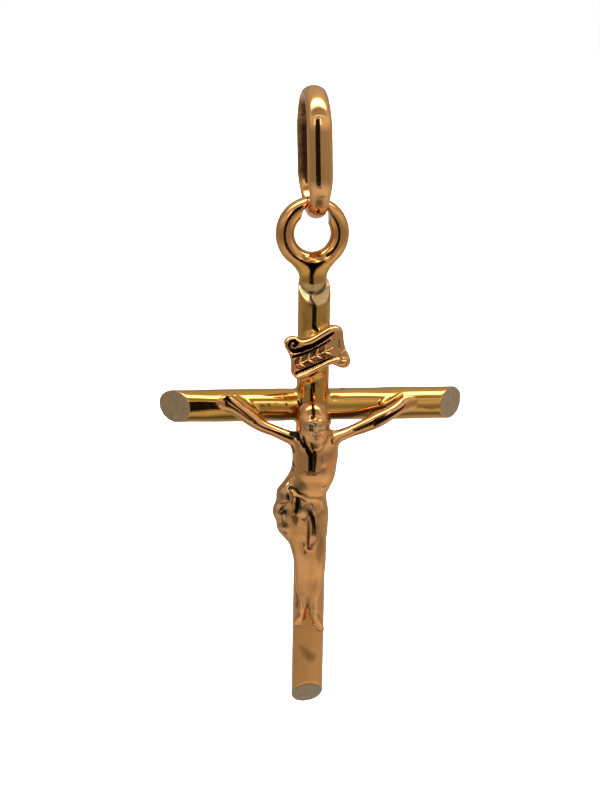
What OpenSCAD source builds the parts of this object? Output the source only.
// Crucifix pendant: a cross of two round tubes with slanted ends and a soldered top loop,
// a cast figure and a cast scroll soldered on its front, and a bail of half-round band.
// Millimetres. +Z is up, the front looks to -Y, and the origin is the chain's seat, the
// middle of the bail's inner top. The cross is described from the crossing of its tubes.

/* [Cross tubes] */
// Diameter of both tubes
tube_d = 2.36; // [2:0.02:2.8]
// Length of the crossbar, over its two back tips
bar_len = 22.3; // [20:0.1:25]
// How far the middle of the crossbar lies to the right of the upright
bar_shift = 0.19; // [0:0.01:0.3]
// How far the crossbar lies behind the upright
bar_back = 0.35; // [0.2:0.01:0.5]
// How far the crossbar lies below the crossing's height on the upright
bar_low = 0.09; // [0:0.01:0.2]
// From the crossing down to the upright's back tip
foot_drop = 23.46; // [21:0.02:26]
// From the crossing up to the front edge of the upright's top facet
head_rise = 7.33; // [7:0.01:8]
// Slant of the cut faces on the crossbar, from a square cut
bar_slant = 41.7; // [38:0.1:45]
// Slant of the cut faces on the upright, from a square cut
upright_slant = 46.4; // [42:0.1:48]

/* [Top loop] */
// Height of the loop's centre above the crossing
loop_rise = 12.28; // [12:0.01:12.5]
// How far the loop's centre lies to the left of the upright
loop_left = 0.2; // [0:0.01:0.3]
// How far the loop lies behind the upright's middle
loop_back = 0.15; // [0:0.01:0.3]
// Outer diameter of the loop
loop_d = 5.24; // [5:0.02:5.4]
// Diameter of the loop's wire
loop_wire = 1.345; // [1.2:0.005:1.4]
// Height of the worn place's middle above the crossing, where the cross swings
pivot_rise = 14.65; // [14.6:0.01:14.7]
// Diameter of the wire that the wear has left there
worn_wire = 0.66; // [0.6:0.01:0.7]
// Radius that the band has worn into the loop, across its wire
worn_r = 1; // [0.95:0.01:1.05]
// Diameter of the neck between the upright and the loop
neck_d = 1.96; // [1.8:0.02:2.1]
// Height of the neck's narrowest place above the crossing
neck_rise = 9.42; // [9.3:0.01:9.5]

/* [Bail] */
// Height of the opening in the bail
bail_inner_h = 7.41; // [7.3:0.01:7.5]
// Depth of the opening in the bail, front to back
bail_inner_d = 4.4; // [4.3:0.02:4.5]
// Lean of the bail to the left, in degrees
bail_lean = 2.05; // [0:0.05:2.5]
// Bulge of the band's outer face
band_outer = 0.57; // [0.5:0.01:0.6]
// Bulge of the band's inner face
band_inner = 0.33; // [0.28:0.01:0.35]
// Width of the band at the bottom, in the loop
band_w_low = 1.36; // [1.2:0.01:1.38]
// Width of the band at the middle of its height
band_w_mid = 1.76; // [1.5:0.01:1.9]
// Width of the band at the top, under the chain
band_w_top = 1.66; // [1.4:0.01:1.9]

/* [Figure and scroll] */
// Gap between a casting and the tube that it sits on
seat_gap = 0.03; // [0.02:0.005:0.05]
// Tilt of the scroll, rising to the right
scroll_tilt = 23; // [18:0.5:28]
// Thickness of the scroll's plate
scroll_plate = 0.5; // [0.4:0.02:0.7]
// Height of the scroll's raised rims and ornament
scroll_relief = 0.26; // [0.15:0.01:0.35]
// Width of a raised rim on the scroll
scroll_rim = 0.24; // [0.18:0.01:0.3]

/* [Hidden] */

ROSE = "#c08a5c";
YELLOW = "#c9a243";

tube_r = tube_d / 2;
loop_ring_r = (loop_d - loop_wire) / 2;
neck_r = neck_d / 2;
// Thickness of the web between the neck and the loop, front to back
web_d = 1.1;

// The bail's inner bottom stays clear of the worn wire that swings on it
bail_clear = 0.1;
band_bottom_rise = pivot_rise - worn_wire / 2 - bail_clear;
cross_drop = band_bottom_rise + bail_inner_h * cos(bail_lean);
bail_foot_x = bail_inner_h * sin(bail_lean);
// The worn place and the bail's foot lie right of the upright's axis by this much
worn_right = -0.03;
cross_x = bail_foot_x - worn_right;

// Smooth step from 0 to 1 while t goes from 0 to 1
function ease(t) = let (c = max(0, min(1, t))) c * c * (3 - 2 * c);
function mix(a, b, t) = a + (b - a) * t;
function unit(v) = v / norm(v);

// Faces of a closed chain of rings, each of n points, joined end to end
function ring_faces(count, n) = [
    for (i = [0:count - 1], j = [0:n - 1])
        let (a = i * n, b = ((i + 1) % count) * n, k = (j + 1) % n)
            each [[a + j, a + k, b + k], [a + j, b + k, b + j]]
];

// Faces of an open stack of rings, closed by its two end rings
function stack_faces(count, n) = concat(
    [[for (j = [0:n - 1]) n - 1 - j]],
    [
        for (i = [0:count - 2], j = [0:n - 1])
            let (a = i * n, b = (i + 1) * n, k = (j + 1) % n)
                each [[a + j, a + k, b + k], [a + j, b + k, b + j]]
    ],
    [[for (j = [0:n - 1]) (count - 1) * n + j]]
);

// A limb through rows of [x, y, z, half width, half depth], rounded at both ends
module limb(rows, n = 14) {
    last = len(rows) - 1;
    ways = [
        for (i = [0:last])
            let (a = rows[max(i - 1, 0)], b = rows[min(i + 1, last)])
                unit([b[0] - a[0], b[1] - a[1], b[2] - a[2]])
    ];
    tips = [80, 55, 28];
    stations = concat(
        [for (t = tips) [rows[0], ways[0], -sin(t), cos(t)]],
        [for (i = [0:last]) [rows[i], ways[i], 0, 1]],
        [for (k = [2:-1:0]) [rows[last], ways[last], sin(tips[k]), cos(tips[k])]]
    );
    points = [
        for (s = stations)
            let (
                row = s[0],
                way = s[1],
                across = unit(cross(way, [0, 1, 0])),
                deep = cross(across, way),
                dome = min(row[3], row[4]),
                middle = [row[0], row[1], row[2]] + way * dome * s[2]
            )
                for (j = [0:n - 1])
                    let (a = 360 * j / n)
                        middle + across * row[3] * s[3] * cos(a) + deep * row[4] * s[3] * sin(a)
    ];
    polyhedron(points, stack_faces(len(stations), n), convexity = 6);
}

// A rounded ball stretched to three half sizes, as a limb's end or a lock of hair
module lump(at, size, fn = 16) {
    translate(at) scale(size) sphere(1, $fn = fn);
}

// Places of the bail's band, round its lower bend, up one side, over and down: each is the
// direction that faces out, from +Y towards +Z, and the height of its bend or side
ARC_STEPS = 20;
SIDE_STEPS = 6;
bail_bend = bail_inner_d / 2;
bail_side = bail_inner_h - bail_inner_d;
bail_places = concat(
    [for (i = [0:ARC_STEPS - 1]) let (a = -180 + 180 * i / ARC_STEPS) [a, -bail_side / 2]],
    [for (i = [0:SIDE_STEPS - 1]) [0, bail_side * (i / SIDE_STEPS - 0.5)]],
    [for (i = [0:ARC_STEPS - 1]) let (a = 180 * i / ARC_STEPS) [a, bail_side / 2]],
    [for (i = [0:SIDE_STEPS - 1]) [180, bail_side * (0.5 - i / SIDE_STEPS)]]
);

// Width of the band at a height from 0, the bottom, to 1, the top
function band_w(t) =
    t < 0.5 ? mix(band_w_low, band_w_mid, ease(t / 0.32))
            : mix(band_w_mid, band_w_top, ease((t - 0.68) / 0.32));

module bail() {
    n = 24;
    points = [
        for (p = bail_places)
            let (
                out = [0, cos(p[0]), sin(p[0])],
                middle = [0, 0, p[1] - bail_inner_h / 2] + out * (bail_bend + band_inner),
                half_w = band_w((middle[2] + bail_inner_h) / bail_inner_h) / 2
            )
                for (j = [0:n - 1])
                    let (a = 360 * j / n, bulge = sin(a) > 0 ? band_outer : band_inner)
                        middle + [half_w * cos(a), 0, 0] + out * bulge * sin(a)
    ];
    color(ROSE)
        rotate([0, -bail_lean, 0])
            polyhedron(points, ring_faces(len(bail_places), n), convexity = 4);
}

// Moves a piece from the crossing's axes to the pendant's
module at_crossing() {
    translate([cross_x, 0, -cross_drop]) children();
}

// A tube along +Z from z0 to z1, whose ends are cut back at the front by a slant
module slanted_tube(z0, z1, slant) {
    rise = tube_d * tan(slant);
    reach = 2 * tube_d;
    difference() {
        translate([0, 0, z0]) cylinder(d = tube_d, h = z1 - z0, $fn = 72);
        translate([0, -tube_r, z0 + rise])
            rotate([-slant, 0, 0])
                translate([-reach, -reach, -2 * reach])
                    cube([2 * reach, 3 * reach, 2 * reach]);
        translate([0, -tube_r, z1 - rise])
            rotate([slant, 0, 0])
                translate([-reach, -reach, 0])
                    cube([2 * reach, 3 * reach, 2 * reach]);
    }
}

// The loop that the bail passes through, worn to a waist where it hangs
module top_loop() {
    difference() {
        translate([-loop_left, loop_back, loop_rise])
            rotate([90, 0, 0])
                rotate_extrude($fn = 96)
                    translate([loop_ring_r, 0]) circle(d = loop_wire, $fn = 48);
        translate([worn_right, loop_back, pivot_rise])
            rotate([0, 90, 0])
                rotate_extrude($fn = 96)
                    translate([worn_wire / 2 + worn_r, 0]) circle(worn_r, $fn = 72);
    }
}

// The peg that carries the loop, sunk in the slanted top of the upright, and the web that
// flows from it into the loop's underside
module neck() {
    foot = head_rise - tube_r;
    low = loop_rise - neck_rise;
    loop_r = loop_d / 2;
    flow_r = (neck_r ^ 2 + low ^ 2 - loop_r ^ 2) / (2 * (loop_r - neck_r));
    touch = flow_r / (flow_r + loop_r);
    web_w = (neck_r + flow_r) * (1 - touch);
    translate([-loop_left / 2, loop_back, 0]) {
        translate([0, 0, foot]) cylinder(r = neck_r, h = neck_rise - foot, $fn = 72);
        translate([0, 0, neck_rise]) sphere(neck_r, $fn = 72);
        rotate([90, 0, 0])
            linear_extrude(web_d, center = true)
                difference() {
                    translate([-web_w, neck_rise]) square([2 * web_w, low * touch + loop_wire / 3]);
                    for (side = [-1, 1])
                        translate([side * (neck_r + flow_r), neck_rise]) circle(flow_r, $fn = 72);
                }
    }
}

module cross() {
    upright_top = head_rise + tube_d * tan(upright_slant);
    color(YELLOW)
        at_crossing()
            union() {
                slanted_tube(-foot_drop, upright_top, upright_slant);
                translate([bar_shift, bar_back, -bar_low])
                    rotate([0, 90, 0])
                        slanted_tube(-bar_len / 2, bar_len / 2, bar_slant);
                neck();
                top_loop();
            }
}

// The cast figure, front to -Y. Rows are [x, y, z, half width, half depth] from the crossing.
TORSO = [
    [-0.18, -2.05, -1.45, 0.62, 0.50],
    [-0.13, -2.08, -1.85, 1.42, 0.66],
    [-0.10, -2.20, -2.40, 1.68, 0.92],
    [-0.03, -2.30, -3.00, 1.66, 1.08],
    [-0.08, -2.28, -3.80, 1.60, 1.08],
    [-0.18, -2.20, -4.30, 1.60, 0.98],
    [-0.30, -2.12, -4.80, 1.54, 0.88],
    [-0.55, -2.15, -5.35, 1.52, 0.90],
    [-0.85, -2.23, -6.00, 1.70, 1.03],
    [-0.95, -2.30, -6.90, 1.84, 1.12],
    [-0.90, -2.37, -7.81, 1.80, 1.15],
    [-0.85, -2.34, -8.62, 1.67, 1.06]
];
LEFT_LEG = [
    [-1.52, -2.35, -7.40, 0.90, 0.95],
    [-1.42, -2.38, -8.58, 0.88, 0.96],
    [-1.16, -2.50, -9.60, 0.66, 0.85],
    [-0.98, -2.55, -10.80, 0.52, 0.70],
    [-0.96, -2.40, -11.80, 0.43, 0.60],
    [-0.86, -2.10, -13.10, 0.36, 0.50],
    [-0.73, -1.80, -14.30, 0.25, 0.38],
    [-0.76, -1.62, -14.95, 0.27, 0.36]
];
RIGHT_LEG = [
    [-0.10, -2.35, -7.40, 0.92, 1.00],
    [0.02, -2.45, -8.80, 0.86, 1.00],
    [0.12, -2.60, -9.90, 0.76, 0.92],
    [0.18, -2.70, -11.20, 0.70, 0.82],
    [0.16, -2.55, -12.10, 0.62, 0.72],
    [0.12, -2.20, -13.20, 0.44, 0.58],
    [0.08, -1.85, -14.30, 0.32, 0.42],
    [0.14, -1.65, -15.00, 0.33, 0.38]
];
LEFT_ARM = [
    [-1.10, -2.05, -2.15, 0.52, 0.60],
    [-1.85, -2.00, -1.93, 0.50, 0.52],
    [-2.90, -1.85, -1.50, 0.43, 0.45],
    [-3.86, -1.73, -1.10, 0.46, 0.46],
    [-4.55, -1.62, -0.62, 0.55, 0.50],
    [-5.31, -1.53, -0.08, 0.43, 0.43],
    [-5.85, -1.50, 0.24, 0.29, 0.32]
];
RIGHT_ARM = [
    [0.85, -2.05, -2.15, 0.52, 0.60],
    [1.60, -2.00, -1.93, 0.50, 0.52],
    [2.55, -1.85, -1.65, 0.43, 0.45],
    [3.60, -1.72, -1.25, 0.50, 0.48],
    [4.55, -1.62, -0.80, 0.56, 0.50],
    [5.40, -1.55, -0.32, 0.44, 0.42],
    [6.02, -1.50, 0.03, 0.30, 0.32]
];
// Rolls, tail and knot of the loincloth, in the same rows
UPPER_ROLL = [
    [-2.20, -2.55, -5.62, 0.24, 0.44],
    [-1.70, -3.00, -5.88, 0.30, 0.40],
    [-0.95, -3.30, -6.38, 0.32, 0.36],
    [-0.30, -3.35, -6.62, 0.26, 0.30]
];
LOWER_ROLL = [
    [-2.35, -2.70, -6.45, 0.52, 0.60],
    [-1.75, -3.12, -6.72, 0.56, 0.52],
    [-1.05, -3.36, -6.80, 0.40, 0.40],
    [-0.40, -3.42, -6.68, 0.20, 0.28]
];
RIGHT_ROLL = [
    [-0.30, -3.36, -6.62, 0.24, 0.28],
    [0.25, -3.10, -6.55, 0.30, 0.36],
    [0.66, -2.55, -6.30, 0.32, 0.48]
];
TAILS = [
    [[-0.30, -3.42, -6.73, 0.34, 0.27], [-0.42, -3.46, -8.00, 0.27, 0.28], [-0.46, -3.42, -9.80, 0.19, 0.26]],
    [[-0.12, -3.40, -6.80, 0.32, 0.26], [-0.06, -3.46, -8.00, 0.29, 0.28], [0.00, -3.44, -9.55, 0.21, 0.26]],
    [[-0.55, -3.30, -6.93, 0.44, 0.29], [-0.95, -3.24, -7.55, 0.50, 0.30], [-1.25, -3.12, -8.20, 0.34, 0.22]],
    [[0.02, -3.25, -6.85, 0.36, 0.28], [0.36, -3.08, -7.35, 0.42, 0.32], [0.62, -2.80, -7.95, 0.30, 0.28]]
];
KNOT = [
    [-2.26, -2.56, -6.08, 0.44, 0.61],
    [-2.52, -2.45, -6.70, 0.46, 0.62],
    [-2.56, -2.40, -7.30, 0.48, 0.62],
    [-2.40, -2.40, -7.90, 0.42, 0.58],
    [-2.26, -2.35, -8.50, 0.36, 0.50]
];
KNOT_TAIL = [
    [-2.35, -2.90, -7.00, 0.30, 0.30],
    [-2.15, -3.00, -7.70, 0.32, 0.30],
    [-2.05, -2.90, -8.60, 0.20, 0.24]
];
// Rings of the skull, the hair and the beard: [x, y, z, half width, half depth]
SKULL = [
    [-0.37, -2.74, -0.07, 0.80, 0.80],
    [-0.32, -2.84, -0.50, 0.88, 0.88],
    [-0.26, -2.92, -1.00, 0.84, 0.88],
    [-0.20, -2.98, -1.45, 0.72, 0.74]
];
HAIR = [
    [-0.36, -2.42, -0.18, 0.94, 0.84],
    [-0.30, -2.44, -0.60, 1.07, 0.94],
    [-0.25, -2.40, -1.10, 1.06, 0.86],
    [-0.20, -2.24, -1.70, 0.92, 0.60]
];
BEARD = [
    [-0.18, -3.22, -1.36, 0.58, 0.46],
    [-0.14, -3.26, -1.75, 0.54, 0.44],
    [-0.10, -3.22, -2.05, 0.36, 0.34]
];
LOCKS = [
    [[-1.15, -2.55, -0.55, 0.22, 0.30], [-1.25, -2.50, -1.20, 0.20, 0.30], [-1.20, -2.50, -1.85, 0.14, 0.22]],
    [[0.72, -2.55, -0.45, 0.20, 0.28], [0.86, -2.50, -1.10, 0.20, 0.30], [0.92, -2.50, -1.80, 0.14, 0.22]]
];

// A hand as a palm and four fingers that open away from the wrist; side is -1 or 1
module hand(wrist, palm, side) {
    reach = [side * 0.34, -0.06, 0.16];
    hull() {
        lump(wrist, [0.26, 0.24, 0.24], 12);
        lump(palm, [0.36, 0.24, 0.42], 12);
    }
    for (finger = [0:3])
        let (spread = finger / 3 - 0.5)
            hull() {
                lump(palm + [side * 0.1, 0, spread * 0.56], [0.17, 0.16, 0.14], 10);
                lump(palm + reach + [side * (0.14 - spread * spread), -0.04, spread * 0.7],
                     [0.15, 0.13, 0.11], 10);
            }
}

// A foot from its ankle to its toes
module foot(ankle, ball, toes) {
    hull() {
        lump(ankle, [0.27, 0.34, 0.3], 12);
        lump(ball, [0.34, 0.3, 0.34], 12);
    }
    hull() {
        lump(ball, [0.34, 0.28, 0.3], 12);
        lump(toes, [0.24, 0.22, 0.22], 12);
    }
}

// A calm, plain face: one soft brow and a straight nose raised from the front of the skull
module face() {
    bridge = [-0.28, -3.62, -0.62];
    nose_tip = [-0.26, -3.78, -1.02];
    lump(bridge + [0, 0.02, 0.06], [0.56, 0.16, 0.12], 16);
    hull() {
        lump(bridge, [0.1, 0.14, 0.1], 12);
        lump(nose_tip, [0.14, 0.15, 0.09], 12);
    }
}

module figure() {
    limb(TORSO, 28);
    limb(LEFT_LEG, 18);
    limb(RIGHT_LEG, 18);
    limb(LEFT_ARM, 16);
    limb(RIGHT_ARM, 16);
    hand([-5.9, -1.45, 0.27], [-6.4, -1.42, 0.46], -1);
    hand([6.08, -1.45, 0.06], [6.62, -1.42, 0.26], 1);
    foot([-0.76, -1.6, -15], [-0.95, -1.62, -15.6], [-1.02, -1.6, -16.1]);
    foot([0.16, -1.62, -15], [0.46, -1.62, -15.85], [0.66, -1.55, -16.55]);
    limb(SKULL, 18);
    limb(HAIR, 18);
    limb(BEARD, 14);
    for (lock = LOCKS) limb(lock, 10);
    face();
    limb(UPPER_ROLL);
    limb(LOWER_ROLL);
    limb(RIGHT_ROLL, 12);
    for (tail = TAILS) limb(tail, 12);
    limb(KNOT, 16);
    limb(KNOT_TAIL, 12);
}

// The tubes, grown by the seat's gap, which the castings are shaped to
module tube_seats() {
    seat_r = tube_r + seat_gap;
    translate([0, 0, -1.5 * cross_drop]) cylinder(r = seat_r, h = 2 * cross_drop, $fn = 64);
    translate([-bar_len / 2, bar_back, -bar_low])
        rotate([0, 90, 0])
            cylinder(r = seat_r, h = bar_len, $fn = 64);
}

module corpus() {
    color(ROSE)
        at_crossing()
            difference() {
                figure();
                tube_seats();
            }
}

// The scroll's own axes: along it, across it, and off its plate towards the front
SCROLL_AT = [0.15, -1.3, 3.7];
// Outline of the plate as [along, across], from the left end's foot and round anticlockwise
SCROLL_EDGE = [
    [-2.10, -0.60], [-1.87, -0.74], [-1.20, -0.84], [-0.54, -0.83], [0.07, -0.76],
    [0.85, -0.74], [1.50, -0.95], [2.05, -0.70], [2.01, -0.08], [2.12, 0.46],
    [2.28, 0.95], [2.31, 1.32], [2.20, 1.58], [1.99, 1.68], [1.36, 1.68],
    [0.76, 1.60], [0.14, 1.52], [-0.43, 1.46], [-0.90, 1.60], [-1.84, 1.45],
    [-1.85, 0.85], [-1.93, 0.45], [-2.15, 0.00], [-2.20, -0.30]
];
// The plain flap at the right end and the narrow turned edge at the left, raised as the rims
SCROLL_FLAP = [
    [1.18, -0.42], [1.95, -0.66], [1.9, -0.08], [2.02, 0.46], [2.2, 1.3], [1.62, 1.4], [1.4, 0.6]
];
SCROLL_TURN = [
    [-1.78, 1.2], [-1.88, 0.45], [-2.1, -0.45], [-1.82, -0.4], [-1.64, 0.4], [-1.58, 1.2]
];
VOLUTE_AT = [-1.36, 1.62];
VOLUTE_R = 0.62;
ROLL_AT = [1.5, -0.94];
ROLL_R = 0.45;
// Solder pad between the plate and the upright: width, height and middle across the plate
PAD_SIZE = [1.4, 2.35];
PAD_DEPTH = 0.6;
PAD_MIDDLE = [0.1, 0.48];

// Heights across the scroll of its rims and thin lines, at a place u along it
function upper_rim(u) = 1.42 + 0.09 * u;
function upper_line(u) = 1.02 + 0.06 * (u + 0.4) ^ 2;
function lower_line(u) = -0.12 + 0.02 * u;
function lower_rim(u) = -0.56 + 0.03 * u;

// A raised band between two lists of heights that run from u0 to u1
module band(u0, u1, w, heights) {
    last = len(heights) - 1;
    polygon(concat(
        [for (i = [0:last]) [mix(u0, u1, i / last), heights[i] - w / 2]],
        [for (i = [last:-1:0]) [mix(u0, u1, i / last), heights[i] + w / 2]]
    ));
}

// The places from u0 to u1 at which a band's heights are worked out
function along(u0, u1) = [for (i = [0:10]) mix(u0, u1, i / 10)];

// The groove that turns the left end into a volute
function volute_groove() =
    let (
        steps = 28,
        turns = 1.3,
        start = 215,
        w = 0.14,
        path = [
            for (i = [0:steps])
                let (t = i / steps)
                    [start + 360 * turns * t, mix(VOLUTE_R - 0.17, 0.12, t), w * (1 - 0.5 * t)]
        ]
    )
        concat(
            [for (p = path) (p[1] + p[2] / 2) * [cos(p[0]), sin(p[0])]],
            [for (i = [steps:-1:0]) (path[i][1] - path[i][2] / 2) * [cos(path[i][0]), sin(path[i][0])]]
        );

// A pointed leaf of a given length, from its stem's end at the origin
module leaf(size) {
    bow_r = 0.85 * size;
    intersection_for(side = [-1, 1])
        translate([size / 2, side * sqrt(bow_r ^ 2 - (size / 2) ^ 2)]) circle(bow_r, $fn = 48);
}

// A laurel sprig of paired leaves along a stem, the plain ornament of the scroll's field
module laurel(pairs) {
    pitch = 0.52;
    translate([0, -0.03]) square([pairs * pitch, 0.06]);
    for (i = [0:pairs - 1], side = [-1, 1])
        translate([pitch * i + 0.04, 0]) rotate(side * 38) leaf(0.5);
    translate([pairs * pitch - 0.05, 0]) leaf(0.34);
}

// All that stands proud of the scroll's plate
module scroll_raised() {
    thin = scroll_rim / 2;
    band(-0.75, 2.1, scroll_rim, [for (u = along(-0.75, 2.1)) upper_rim(u)]);
    band(-1.6, 1.6, thin, [for (u = along(-1.6, 1.6)) upper_line(u)]);
    band(-1.75, 1.3, thin, [for (u = along(-1.75, 1.3)) lower_line(u)]);
    band(-2.05, 1.3, 1.3 * scroll_rim, [for (u = along(-2.05, 1.3)) lower_rim(u)]);
    polygon(SCROLL_FLAP);
    polygon(SCROLL_TURN);
    difference() {
        translate(VOLUTE_AT) circle(VOLUTE_R, $fn = 48);
        translate(VOLUTE_AT) polygon(volute_groove());
    }
    translate(ROLL_AT) circle(ROLL_R, $fn = 48);
    translate([-1.48, 0.42]) rotate(2) laurel(5);
}

module scroll() {
    color(ROSE)
        at_crossing()
            difference() {
                translate(SCROLL_AT)
                    rotate([0, -scroll_tilt, 0])
                        rotate([90, 0, 0]) {
                            linear_extrude(scroll_plate) {
                                polygon(SCROLL_EDGE);
                                translate(VOLUTE_AT) circle(VOLUTE_R, $fn = 48);
                                translate(ROLL_AT) circle(ROLL_R, $fn = 48);
                            }
                            linear_extrude(scroll_plate + scroll_relief) scroll_raised();
                            translate([0, 0, -PAD_DEPTH])
                                linear_extrude(PAD_DEPTH + scroll_plate / 2)
                                    translate(PAD_MIDDLE)
                                        rotate(-scroll_tilt)
                                            square(PAD_SIZE, center = true);
                        }
                tube_seats();
            }
}

bail();
cross();
corpus();
scroll();
